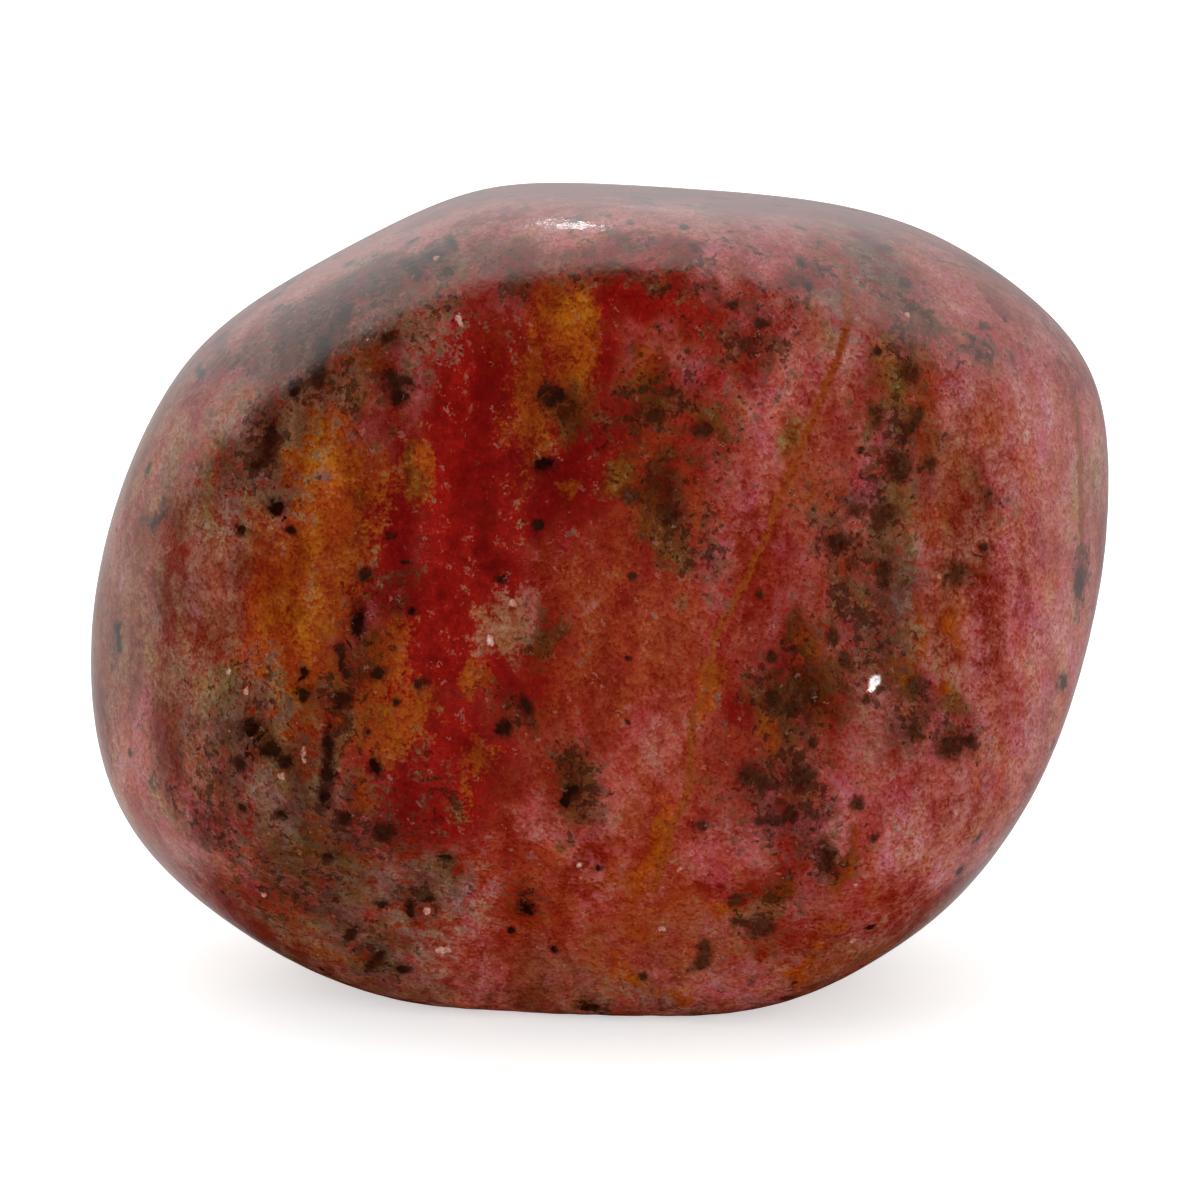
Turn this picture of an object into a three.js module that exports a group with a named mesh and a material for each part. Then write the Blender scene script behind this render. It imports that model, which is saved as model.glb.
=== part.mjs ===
// A tumbled and polished rhodonite freeform: one solid pebble of pink manganese stone.
// Units are millimetres, +Z is up, -Y is the stone's broad front, and the origin is on the
// surface that the stone rests on, under the middle of its bounding box.
//
// The stone was ground facet by facet on a lapidary wheel and then tumbled round, so its
// shape is written the same way: soft facets all round, each a plane at its own reach from
// the grinding centre, blended by a power sum. A flat rest is ground on the underside.

import * as THREE from "three";
import { mergeVertices } from "three/addons/utils/BufferGeometryUtils.js";

// Driving dimensions
const GRINDING_CENTRE_HEIGHT = 28.2; // from the rest up to the point all facets are measured from
const EDGE_SHARPNESS = 20; // exponent of the power sum: low is a river pebble, high is a cut gem
const REST_SOFTNESS = 0.35; // height over which the edge of the flat rest is rounded off
const MESH_DETAIL = 15; // cuts along each edge of the starting icosahedron, for 5,120 triangles
const MERGE_TOLERANCE = 1e-5; // on the starting sphere of radius 1, so equal corners become one

// Each facet's outward direction is a bearing in plan, from the front (-Y) round to the
// right (+X), and a tilt above the horizon. Its reach is its distance from the centre.
const FACETS = [
  { name: "front", bearing: -9, tilt: 10, reach: 22.2 },
  { name: "front right", bearing: 12, tilt: 9, reach: 23.7 },
  { name: "right front", bearing: 34, tilt: 7, reach: 28.4 },
  { name: "right turn", bearing: 60, tilt: 6, reach: 34.0 },
  { name: "front left", bearing: -36, tilt: 5, reach: 28.6 },
  { name: "left turn", bearing: -62, tilt: 3, reach: 34.0 },
  { name: "front low", bearing: -6, tilt: -30, reach: 25.6 },
  { name: "front low right", bearing: 48, tilt: -38, reach: 33.4 },
  { name: "front low left", bearing: -50, tilt: -40, reach: 33.6 },
  { name: "top front", bearing: -16, tilt: 57, reach: 30.2 },
  { name: "top front left", bearing: -50, tilt: 46, reach: 30.4 },
  { name: "top front right", bearing: 42, tilt: 50, reach: 31.6 },
  { name: "right", bearing: 90, tilt: -3, reach: 36.9 },
  { name: "right shoulder", bearing: 90, tilt: 40, reach: 37.3 },
  { name: "top right", bearing: 92, tilt: 62, reach: 33.4 },
  { name: "top", bearing: 120, tilt: 85, reach: 27.4 },
  { name: "top left", bearing: -96, tilt: 63, reach: 28.6 },
  { name: "left shoulder", bearing: -92, tilt: 28, reach: 33.0 },
  { name: "left", bearing: -90, tilt: 8, reach: 36.0 },
  { name: "left foot", bearing: -90, tilt: -18, reach: 37.8 },
  { name: "low left", bearing: -90, tilt: -57, reach: 37.2 },
  { name: "underside left", bearing: -90, tilt: -73, reach: 32.6 },
  { name: "underside", bearing: 0, tilt: -90, reach: 29.2 },
  { name: "low right", bearing: 90, tilt: -68, reach: 31.0 },
  { name: "right foot", bearing: 90, tilt: -42, reach: 36.0 },
  { name: "right low", bearing: 90, tilt: -25, reach: 33.2 },
  { name: "back", bearing: 174, tilt: 8, reach: 23.6 },
  { name: "back right", bearing: 150, tilt: 2, reach: 26.4 },
  { name: "back right turn", bearing: 120, tilt: -2, reach: 32.2 },
  { name: "back left", bearing: -154, tilt: 6, reach: 25.8 },
  { name: "back left turn", bearing: -124, tilt: 6, reach: 31.4 },
  { name: "back top", bearing: 182, tilt: 46, reach: 27.0 },
  { name: "back top right", bearing: 132, tilt: 40, reach: 33.4 },
  { name: "back top left", bearing: -130, tilt: 42, reach: 30.4 },
  { name: "back low", bearing: 186, tilt: -36, reach: 26.8 },
  { name: "back low right", bearing: 128, tilt: -38, reach: 31.8 },
  { name: "back low left", bearing: -126, tilt: -40, reach: 33.0 },
];

const radians = THREE.MathUtils.degToRad;

function outward(facet) {
  const bearing = radians(facet.bearing);
  const tilt = radians(facet.tilt);
  return new THREE.Vector3(
    Math.sin(bearing) * Math.cos(tilt),
    -Math.cos(bearing) * Math.cos(tilt),
    Math.sin(tilt),
  );
}

const PLANES = FACETS.map((facet) => outward(facet).divideScalar(facet.reach));

// How far the stone reaches along a direction from its grinding centre.
function reachAlong(direction) {
  let sum = 0;
  for (const plane of PLANES) {
    sum += Math.max(0, plane.dot(direction)) ** EDGE_SHARPNESS;
  }
  return sum ** (-1 / EDGE_SHARPNESS);
}

// The flat rest: heights under zero become zero, with a short round-over above it.
function groundFlat(height) {
  if (height <= -REST_SOFTNESS) return 0;
  if (height >= REST_SOFTNESS) return height;
  return (height + REST_SOFTNESS) ** 2 / (4 * REST_SOFTNESS);
}

function stoneGeometry() {
  const geometry = new THREE.IcosahedronGeometry(1, MESH_DETAIL);
  geometry.deleteAttribute("normal");
  geometry.deleteAttribute("uv");
  const closed = mergeVertices(geometry, MERGE_TOLERANCE);
  const points = closed.getAttribute("position");
  const point = new THREE.Vector3();
  for (let i = 0; i < points.count; i += 1) {
    point.fromBufferAttribute(points, i).normalize();
    point.multiplyScalar(reachAlong(point));
    const height = groundFlat(point.z + GRINDING_CENTRE_HEIGHT);
    points.setXYZ(i, point.x, point.y, height);
  }
  closed.computeBoundingBox();
  const middle = closed.boundingBox.getCenter(new THREE.Vector3());
  closed.translate(-middle.x, -middle.y, 0);
  closed.computeVertexNormals();
  return closed;
}

function polishedRhodonite() {
  return new THREE.MeshStandardMaterial({ color: 0x8f3a30, roughness: 0.28, metalness: 0 });
}

const rhodoniteFreeform = new THREE.Group();
const stone = new THREE.Mesh(stoneGeometry(), polishedRhodonite());
stone.name = "rhodonite_stone";
rhodoniteFreeform.add(stone);

export default rhodoniteFreeform;
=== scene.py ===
# %% [markdown]
# # A polished rhodonite freeform
# This lesson dresses one natural stone. Rhodonite is a manganese mineral. It is pink to deep
# red, stained amber by iron and peppered with black manganese oxide. The stone was ground on
# a lapidary wheel, tumbled until its edges went soft, and polished to a low gloss.
#
# The shape comes from the CAD model as a fixed frame. This script gives that shape a finer
# skin, the minerals, the polish, and a plain studio to stand in.

# %% Load the frame
import math

import bmesh
import bpy
import numpy as np
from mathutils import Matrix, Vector
from mathutils.bvhtree import BVHTree


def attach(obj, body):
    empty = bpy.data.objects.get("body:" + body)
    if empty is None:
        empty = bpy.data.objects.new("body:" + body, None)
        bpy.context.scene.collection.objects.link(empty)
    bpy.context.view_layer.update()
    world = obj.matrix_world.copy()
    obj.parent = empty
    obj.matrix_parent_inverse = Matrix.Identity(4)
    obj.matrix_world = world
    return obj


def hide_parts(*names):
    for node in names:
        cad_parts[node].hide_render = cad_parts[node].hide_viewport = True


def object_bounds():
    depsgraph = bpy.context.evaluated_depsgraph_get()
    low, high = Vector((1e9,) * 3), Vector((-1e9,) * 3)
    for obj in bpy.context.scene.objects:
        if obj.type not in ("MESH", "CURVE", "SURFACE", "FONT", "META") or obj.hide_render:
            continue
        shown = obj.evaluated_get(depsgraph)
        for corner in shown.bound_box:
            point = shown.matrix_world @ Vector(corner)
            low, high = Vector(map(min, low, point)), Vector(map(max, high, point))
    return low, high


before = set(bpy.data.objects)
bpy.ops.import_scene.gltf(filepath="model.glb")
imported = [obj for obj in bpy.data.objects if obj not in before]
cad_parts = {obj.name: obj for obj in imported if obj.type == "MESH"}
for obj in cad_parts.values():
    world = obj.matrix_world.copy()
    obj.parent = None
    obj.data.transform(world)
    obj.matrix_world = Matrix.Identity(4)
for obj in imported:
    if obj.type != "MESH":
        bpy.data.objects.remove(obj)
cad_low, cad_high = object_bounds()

MM = 0.001
stone_size = cad_high - cad_low
print("stone, mm:", [round(side / MM, 1) for side in stone_size])

# %% [markdown]
# ## Three helpers
# Colours are easiest to name as the hex values seen on a screen, but a shader works in
# linear light, so one function turns one into the other. A second small function adds a
# node, sets it up and links it, which keeps each material readable as a list of steps. A
# third puts a new object into the scene.


# %% Colour and node helpers
def linear(hex_colour):
    channels = [int(hex_colour[i:i + 2], 16) / 255 for i in (1, 3, 5)]
    curve = [c / 12.92 if c <= 0.04045 else ((c + 0.055) / 1.055) ** 2.4 for c in channels]
    return (*curve, 1.0)


def add(tree, kind, inputs=None, **settings):
    """Adds a node. Each input is a value, a socket to link, or a node for its first output."""
    node = tree.nodes.new(kind)
    for setting, value in settings.items():
        setattr(node, setting, value)
    for socket, value in (inputs or {}).items():
        source = value.outputs[0] if isinstance(value, bpy.types.Node) else value
        if isinstance(source, bpy.types.NodeSocket):
            tree.links.new(source, node.inputs[socket])
        else:
            node.inputs[socket].default_value = source
    return node


def put_in_scene(name, data):
    thing = bpy.data.objects.new(name, data)
    bpy.context.scene.collection.objects.link(thing)
    return thing


# %% [markdown]
# ## The camera
# The photo was taken with a long lens from just above the table, so the stone hardly shows
# any perspective. The camera looks along +Y and down by a few degrees. It comes before the
# stone's skin because the minerals below are placed where this camera sees them.

# %% Camera
CAMERA_TILT = math.radians(12)
CAMERA_DISTANCE = 315.0 * MM
CAMERA_LENS = 135.0
SENSOR_WIDTH = 36.0
IMAGE_SIDE = 1200
NEAREST_SEEN = 10.0 * MM
AIM = Vector((0.17 * MM, -0.27 * MM, 26.66 * MM))

camera_data = bpy.data.cameras.new("studio camera")
camera_data.lens = CAMERA_LENS
camera_data.sensor_width = SENSOR_WIDTH
camera_data.clip_start = NEAREST_SEEN
camera = put_in_scene("studio camera", camera_data)
view_forward = Vector((0, math.cos(CAMERA_TILT), -math.sin(CAMERA_TILT)))
camera.location = AIM - view_forward * CAMERA_DISTANCE
camera.rotation_euler = (math.radians(90) - CAMERA_TILT, 0, 0)
bpy.context.scene.camera = camera
pixels_per_mm = IMAGE_SIDE * CAMERA_LENS / SENSOR_WIDTH / (CAMERA_DISTANCE / MM)
print("pixels in one millimetre at the stone:", round(pixels_per_mm, 2))

# %% [markdown]
# ## The stone's skin
# The CAD solid is a closed mesh of flat triangles, good for size and collision but too
# coarse for a polished surface, where each flat would show in the reflections. A copy is
# merged into one skin and smoothed by a Subdivision Surface modifier. Its corners move by a
# few hundredths of a millimetre, so the stone keeps its size.

# %% Merge and smooth a copy of the CAD stone
SKIN_LEVELS = 2
WELD_DISTANCE = 0.01 * MM

cad_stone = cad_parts["rhodonite_stone"]
skin_mesh = cad_stone.data.copy()
welder = bmesh.new()
welder.from_mesh(skin_mesh)
bmesh.ops.remove_doubles(welder, verts=welder.verts, dist=WELD_DISTANCE)
welder.to_mesh(skin_mesh)
welder.free()
skin_mesh.materials.clear()
custom_normals = skin_mesh.attributes.get("custom_normal")
if custom_normals is not None:
    skin_mesh.attributes.remove(custom_normals)
stone = put_in_scene("polished_rhodonite_stone", skin_mesh)
smoother = stone.modifiers.new("tumbled smooth", "SUBSURF")
smoother.levels = SKIN_LEVELS
print("corners after merging:", len(skin_mesh.vertices))

# %% [markdown]
# ## Wheel marks and pits
# A hand-held stone is never ground quite flat. The wheel leaves long shallow waves that
# bend the reflections, and soft grains pull out and leave pits up to two millimetres wide.
# The pits repeat all over the surface, so Geometry Nodes make them: points are scattered
# over the skin, and every corner sinks by how near it is to one. The flat rest underneath
# is left flat.
#
# The same tree stores four slow noises, drawn out upwards as the bands in the stone are.
# The cloud and the mottle roughen the minerals' shapes and shades, the drift bends their
# outlines, and the tinge shifts their colour. Stored on the corners, they render quickly.

# %% The relief tree and its named inputs
relief = bpy.data.node_groups.new("wheel waves and pits", "GeometryNodeTree")
relief.interface.new_socket("Geometry", in_out="INPUT", socket_type="NodeSocketGeometry")
relief.interface.new_socket("Geometry", in_out="OUTPUT", socket_type="NodeSocketGeometry")
polished_stone = bpy.data.materials.new("polished rhodonite")
RELIEF_INPUTS = {
    "Wave Length": ("Float", 11.0 * MM),
    "Wave Depth": ("Float", 0.16 * MM),
    "Pits per Square Metre": ("Float", 5200.0),
    "Pit Radius": ("Float", 1.0 * MM),
    "Pit Depth": ("Float", 0.07 * MM),
    "Rest Height": ("Float", 1.2 * MM),
    "Seed": ("Int", 7),
    "Finish": ("Material", polished_stone),
}
relief_sockets = {}
for input_name, (kind, _) in RELIEF_INPUTS.items():
    relief_sockets[input_name] = relief.interface.new_socket(
        input_name, in_out="INPUT", socket_type="NodeSocket" + kind
    )
print("relief inputs:", ", ".join(relief_sockets))

# %% Waves and pits
WAVE_DETAIL = 1.5
WAVE_ROUGHNESS = 0.4
given = add(relief, "NodeGroupInput").outputs
place = add(relief, "GeometryNodeInputPosition")
outward = add(relief, "GeometryNodeInputNormal")
wave_scale = add(relief, "ShaderNodeMath", {0: 1.0, 1: given["Wave Length"]}, operation="DIVIDE")
waves = add(
    relief, "ShaderNodeTexNoise",
    {"Vector": place, "Scale": wave_scale, "Detail": WAVE_DETAIL, "Roughness": WAVE_ROUGHNESS},
)
centred = add(relief, "ShaderNodeMath", {0: waves, 1: 0.5}, operation="SUBTRACT")
wave_height = add(
    relief, "ShaderNodeMath", {0: centred, 1: given["Wave Depth"]}, operation="MULTIPLY"
)
scatter = add(
    relief, "GeometryNodeDistributePointsOnFaces",
    {"Mesh": given["Geometry"], "Density": given["Pits per Square Metre"], "Seed": given["Seed"]},
)
nearest_pit = add(relief, "GeometryNodeProximity", {"Geometry": scatter}, target_element="POINTS")
pit_form = add(
    relief, "ShaderNodeMapRange",
    {"Value": nearest_pit.outputs["Distance"], "From Max": given["Pit Radius"],
     "To Min": given["Pit Depth"], "To Max": 0.0},
    interpolation_type="SMOOTHSTEP",
)
both = add(relief, "ShaderNodeMath", {0: wave_height, 1: pit_form}, operation="SUBTRACT")
height = add(relief, "ShaderNodeSeparateXYZ", {0: place}).outputs["Z"]
above_rest = add(
    relief, "ShaderNodeMapRange", {"Value": height, "From Max": given["Rest Height"]},
    interpolation_type="SMOOTHSTEP",
)
lift = add(relief, "ShaderNodeMath", {0: both, 1: above_rest}, operation="MULTIPLY")
offset = add(relief, "ShaderNodeVectorMath", {0: outward, "Scale": lift}, operation="SCALE")
moved = add(relief, "GeometryNodeSetPosition", {"Geometry": given["Geometry"], "Offset": offset})
print("nodes for waves and pits:", len(relief.nodes))

# %% Slow noises, and the end of the tree
SLOW_NOISES = {
    "drift": (7.0 * MM, "FLOAT_VECTOR"),
    "cloud": (8.0 * MM, "FLOAT"),
    "mottle": (2.6 * MM, "FLOAT"),
    "tinge": (1.5 * MM, "FLOAT_VECTOR"),
}
SLOW_STRETCH = (1.0, 1.0, 0.45)
SLOW_DETAIL = 4.0
SLOW_ROUGHNESS = 0.6
stretched_place = add(
    relief, "ShaderNodeVectorMath", {0: place, 1: SLOW_STRETCH}, operation="MULTIPLY"
)
carried = moved
for slow_name, (slow_size, slow_kind) in SLOW_NOISES.items():
    slow = add(
        relief, "ShaderNodeTexNoise",
        {"Vector": stretched_place, "Scale": 1 / slow_size, "Detail": SLOW_DETAIL,
         "Roughness": SLOW_ROUGHNESS},
    )
    slow_value = slow.outputs[slow_kind == "FLOAT_VECTOR"]
    carried = add(
        relief, "GeometryNodeStoreNamedAttribute",
        {"Geometry": carried, "Name": slow_name, "Value": slow_value},
        data_type=slow_kind, domain="POINT",
    )
whole = add(relief, "GeometryNodeRealizeInstances", {"Geometry": carried})
finished = add(relief, "GeometryNodeSetMaterial", {"Geometry": whole, "Material": given["Finish"]})
add(relief, "NodeGroupOutput", {0: finished})
print("slow noises:", ", ".join(SLOW_NOISES))

# %% Apply the relief and keep a plain mesh
relief_modifier = stone.modifiers.new("relief", "NODES")
relief_modifier.node_group = relief
for input_name, (_, value) in RELIEF_INPUTS.items():
    relief_modifier[relief_sockets[input_name].identifier] = value
evaluated = stone.evaluated_get(bpy.context.evaluated_depsgraph_get())
fine_mesh = bpy.data.meshes.new_from_object(evaluated)
stone.modifiers.clear()
stone.data = fine_mesh
fine_mesh.shade_smooth()
corner_count = len(fine_mesh.vertices)
triangle_count = sum(len(face.vertices) - 2 for face in fine_mesh.polygons)
print("stone's skin:", corner_count, "corners and", triangle_count, "triangles")

# %% [markdown]
# ## Placing what the photo shows
# Each fleck and patch was read from the photo, as a place and a size in its 1200 by 1200
# pixels. A ray from the camera through that place finds the point of the skin where the
# mineral sits. From there it is a small volume inside the stone, as a real mineral is, so it
# looks right from the side too.
#
# The back isn't in the photo. The same kinds of patch are placed there by turning the same
# rays half round the stone, so that the big bands run through from front to back. The flecks
# go there upside down, so that the back isn't a copy of the front.

# %% Read the skin's corners
DRIFT_REACH = (9.0, 9.0, 18.0)
layers = fine_mesh.attributes


def corner_values(source, key, parts):
    """A number for every corner, or a row of a few."""
    values = np.empty(corner_count * parts)
    source.foreach_get(key, values)
    return values.reshape(-1, parts).squeeze()


corners = corner_values(fine_mesh.vertices, "co", 3) / MM
corner_normals = corner_values(fine_mesh.vertices, "normal", 3)
drift = corner_values(layers["drift"].data, "vector", 3)
mottle = corner_values(layers["mottle"].data, "value", 1)
drifted_corners = corners + (drift - 0.5) * DRIFT_REACH
print("corners drift by up to", np.abs(drifted_corners - corners).max().round(1), "mm")

# %% Rays from the photo to the stone
skin_finder = BVHTree.FromPolygons(
    [vertex.co for vertex in fine_mesh.vertices],
    [tuple(face.vertices) for face in fine_mesh.polygons],
)
view_right = Vector((1, 0, 0))
view_up = view_right.cross(view_forward)
focal_pixels = IMAGE_SIDE * CAMERA_LENS / SENSOR_WIDTH
FRONT = 1
BACK = -1


def seen_from(side):
    """The viewing axes and the eye for the front, or for the back, half a turn round."""
    *axes, eye = [
        Vector((side * vector.x, side * vector.y, vector.z))
        for vector in (view_right, view_up, view_forward, camera.location)
    ]
    return axes, eye


def ray_through(x, y, side):
    """The eye and the ray from it through a pixel of the photo."""
    (right, up, forward), eye = seen_from(side)
    middle = IMAGE_SIDE / 2
    ray = forward + right * ((x - middle) / focal_pixels) - up * ((y - middle) / focal_pixels)
    return eye, ray.normalized()


def on_stone(x, y, side=FRONT):
    """The point of the skin, in millimetres, behind a pixel of the photo, or None beside it."""
    hit = skin_finder.ray_cast(*ray_through(x, y, side))[0]
    return None if hit is None else np.array(hit) / MM


def local_offsets(places, row, side, depth_share, least_depth):
    """Each place's offset from a patch's centre, in units of the patch's half sizes."""
    x, y, width, tall, lean_degrees = (*row, 0)[:5]
    lean = math.radians(lean_degrees)
    centre = on_stone(x, y, side)
    if centre is None:
        return None
    (right, up, forward), _ = seen_from(side)
    along = np.array(right * math.sin(lean) + up * math.cos(lean))
    across = np.array(right * math.cos(lean) - up * math.sin(lean))
    half_width = width / 2 / pixels_per_mm
    half_tall = tall / 2 / pixels_per_mm
    half_depth = max(least_depth, depth_share * max(half_width, half_tall))
    away = places - centre
    axes = (across / half_width, along / half_tall, np.array(forward) / half_depth)
    return np.stack([away @ axis for axis in axes], axis=1)


def write_vector(name, values):
    layer = layers.new(name, "FLOAT_VECTOR", "POINT")
    layer.data.foreach_set("vector", values.astype(np.float32).ravel())


# Every single-number field goes in here, and they are stored together later.
fields = {}
print("middle of the photo, mm:", on_stone(IMAGE_SIDE / 2, IMAGE_SIDE / 2).round(1))

# %% [markdown]
# ## Soft patches
# Iron stain, deep red rhodonite, dusty mauve and grey-green smoke grade into the pink over
# millimetres. Each is a field that is 1 in the middle of a patch and falls through one half
# at its edge. The material later breaks that edge with noise. The rows give x, y, width and
# height in pixels of the photo, and some a lean to the right in degrees. The lowest
# millimetres of the stone are mauve all round.

# %% Where each soft mineral lies
PATCHES = {}
PATCHES["amber"] = [
    (298, 655, 110, 290), (318, 480, 96, 250, 6), (286, 730, 70, 130), (378, 640, 40, 120),
    (335, 416, 48, 60), (382, 628, 46, 96), (348, 339, 36, 26), (553, 318, 74, 62), (562, 362, 60, 66),
    (514, 395, 32, 130), (579, 335, 32, 44), (423, 428, 24, 30), (469, 702, 36, 36), (464, 775, 34, 26),
    (362, 778, 24, 26), (801, 653, 34, 30), (906, 628, 36, 54), (964, 612, 22, 30), (949, 668, 20, 24),
    (846, 860, 26, 96, 10), (760, 742, 26, 32), (772, 905, 30, 28), (723, 934, 24, 24),
    (636, 990, 40, 22), (682, 987, 32, 20), (830, 959, 34, 22), (810, 974, 30, 18),
    (315, 939, 80, 36, -60), (352, 962, 46, 26), (566, 484, 32, 24), (701, 694, 26, 60, 10),
    (664, 852, 24, 100, 14), (882, 550, 34, 30), (655, 398, 30, 36), (928, 585, 24, 70),
    (400, 720, 40, 60), (365, 700, 50, 50),
]
PATCHES["gold"] = [
    (298, 628, 24, 46), (322, 455, 36, 54), (300, 700, 26, 34), (562, 318, 36, 28), (288, 762, 30, 50),
    (566, 352, 24, 40), (312, 520, 24, 50), (900, 640, 24, 34),
]
PATCHES["crimson"] = [
    (462, 460, 112, 290), (438, 630, 92, 210), (430, 780, 130, 120), (560, 455, 110, 150),
    (388, 480, 80, 260), (396, 640, 50, 200), (579, 430, 60, 50), (729, 730, 26, 40), (640, 318, 120, 56),
    (600, 370, 60, 60), (350, 560, 30, 80), (610, 470, 80, 90), (480, 560, 60, 100), (500, 690, 60, 60),
    (540, 500, 60, 60),
]
PATCHES["salmon"] = [
    (630, 820, 130, 130), (520, 930, 210, 150), (560, 740, 140, 110), (440, 930, 120, 110),
    (640, 930, 120, 120), (420, 500, 60, 90), (600, 640, 90, 90), (690, 720, 90, 180),
]
PATCHES["rose_pink"] = [
    (880, 470, 190, 420), (860, 790, 220, 280), (850, 340, 160, 120), (804, 512, 60, 70),
    (1050, 560, 150, 560), (780, 430, 120, 180), (800, 570, 110, 130), (760, 650, 90, 110),
    (880, 880, 130, 110), (720, 860, 70, 110), (980, 790, 130, 150), (1000, 420, 130, 150),
    (860, 320, 110, 110), (620, 235, 260, 70), (800, 240, 180, 70), (460, 300, 80, 40),
    (660, 370, 80, 50), (745, 400, 60, 70), (275, 895, 80, 260, -60), (390, 960, 200, 60),
    (560, 985, 220, 40), (700, 965, 160, 60), (830, 910, 160, 80),
]
# Pale pink mineral, and painted sheen: the wide flat patch along the top edge is a paler band that stands
# in for the polish's reflection there.
PATCHES["pale_pink_and_sheen"] = [
    (205, 850, 60, 120, -50), (960, 770, 110, 120), (830, 335, 120, 110), (930, 270, 140, 60, -50),
    (1062, 560, 120, 420), (1000, 720, 110, 170), (950, 860, 130, 80), (1010, 400, 110, 130),
    (130, 780, 60, 90), (600, 225, 240, 50), (330, 270, 60, 240, 50), (215, 400, 60, 150, 30),
    (110, 560, 60, 160, 10),
]
PATCHES["olive"] = [
    (545, 632, 46, 50), (288, 470, 30, 70), (262, 420, 30, 60), (655, 420, 40, 50), (700, 432, 26, 28),
    (628, 492, 44, 34), (352, 480, 28, 60), (362, 768, 22, 26), (575, 785, 28, 44), (845, 862, 26, 60),
    (790, 650, 40, 50), (900, 640, 44, 70), (760, 915, 40, 50), (800, 430, 36, 46), (330, 860, 50, 40),
    (240, 700, 40, 60), (925, 300, 40, 50), (870, 260, 36, 40), (560, 400, 50, 60), (950, 690, 30, 40),
    (668, 530, 46, 70), (905, 545, 60, 90), (815, 700, 50, 60), (775, 722, 50, 60), (900, 400, 50, 80),
    (405, 440, 40, 70), (300, 840, 60, 50), (340, 880, 60, 50),
]
PATCHES["mauve"] = [
    (330, 330, 230, 130, 50), (500, 250, 200, 80), (320, 850, 220, 160), (420, 900, 120, 90),
    (905, 560, 110, 200), (930, 330, 110, 90), (200, 760, 120, 200), (890, 700, 120, 110),
    (205, 627, 100, 120), (893, 672, 84, 74), (150, 580, 70, 130), (185, 480, 80, 140),
    (235, 560, 70, 90), (160, 760, 100, 150), (210, 860, 90, 70), (330, 890, 170, 70),
    (250, 340, 110, 90), (370, 300, 120, 80), (130, 660, 60, 160), (300, 860, 90, 50),
    (960, 470, 90, 200), (945, 600, 70, 110), (290, 800, 120, 120),
]
PATCHES["tan"] = [
    (214, 410, 30, 56, 35), (156, 569, 28, 34), (143, 643, 28, 34), (166, 819, 30, 30),
    (207, 857, 30, 28), (503, 622, 40, 80, 30), (924, 402, 12, 22), (867, 592, 12, 22),
    (952, 643, 26, 34), (259, 326, 24, 20), (200, 700, 40, 60), (230, 800, 40, 40), (130, 600, 50, 160),
    (180, 480, 50, 110, 15), (300, 935, 50, 120, -60), (104, 620, 40, 300), (150, 440, 50, 160, 25),
    (1090, 500, 40, 90),
]
PATCHES["ash"] = [
    (255, 735, 120, 110), (285, 800, 130, 100), (240, 460, 90, 110), (310, 365, 90, 130, 35),
    (400, 285, 130, 90, 55), (440, 255, 100, 50, 50), (330, 900, 130, 70, -40), (390, 950, 90, 60, -40),
    (850, 310, 50, 90), (905, 560, 60, 120), (215, 500, 50, 70), (420, 880, 90, 70), (880, 250, 60, 50),
    (250, 370, 60, 60, 40),
]
PATCHES["smoke"] = [
    (243, 460, 96, 84), (250, 738, 116, 116), (352, 812, 130, 86), (322, 360, 52, 110, 22),
    (430, 262, 90, 66, 30), (228, 352, 100, 40, 50), (366, 645, 34, 140), (345, 700, 76, 84),
    (553, 395, 64, 54), (548, 628, 54, 54), (655, 425, 110, 84), (680, 515, 64, 120), (750, 330, 110, 76),
    (905, 290, 76, 76), (917, 365, 44, 120), (895, 465, 76, 116), (868, 530, 86, 96), (862, 620, 96, 116),
    (792, 690, 96, 124), (782, 785, 96, 96), (830, 850, 66, 66), (762, 915, 66, 66), (950, 742, 54, 66),
    (910, 705, 64, 66), (805, 835, 84, 56), (365, 952, 50, 96, -35), (402, 892, 46, 50),
    (440, 862, 46, 40), (576, 780, 44, 60), (526, 908, 34, 44), (514, 716, 56, 50), (118, 640, 20, 44),
    (1080, 590, 16, 66), (660, 200, 70, 26), (735, 222, 70, 28), (700, 262, 110, 34), (985, 340, 44, 56),
    (803, 275, 30, 66), (952, 461, 28, 34), (995, 512, 28, 34), (170, 517, 34, 34), (454, 295, 30, 26),
    (400, 570, 30, 50), (560, 212, 60, 24), (500, 285, 46, 30), (620, 245, 46, 26), (822, 255, 40, 50),
    (395, 285, 130, 90, 55), (330, 340, 100, 130, 35), (262, 430, 60, 110, 15), (285, 880, 140, 110),
    (200, 790, 90, 90), (872, 240, 50, 34), (350, 300, 60, 50, 40), (640, 285, 120, 30),
    (275, 340, 60, 40, 50),
]
print("patches read from the photo:", sum(len(rows) for rows in PATCHES.values()))

# %% Work out the patch fields
PATCH_DEPTH_SHARE = 1.3
PATCH_LEAST_DEPTH = 5.0
MOTTLE_SHARE = 0.9
mottling = MOTTLE_SHARE * (mottle - 0.5)
FOOT_FIELD = "mauve"
FOOT_HEIGHT = 6.5


def patch_field(rows):
    field = np.zeros(corner_count)
    for x, *rest in rows:
        for side, place_x in ((FRONT, x), (BACK, IMAGE_SIDE - x)):
            offsets = local_offsets(
                drifted_corners, (place_x, *rest), side, PATCH_DEPTH_SHARE, PATCH_LEAST_DEPTH
            )
            if offsets is not None:
                field = np.maximum(field, 1 - np.linalg.norm(offsets, axis=1) / 2)
    return field + mottling


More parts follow.
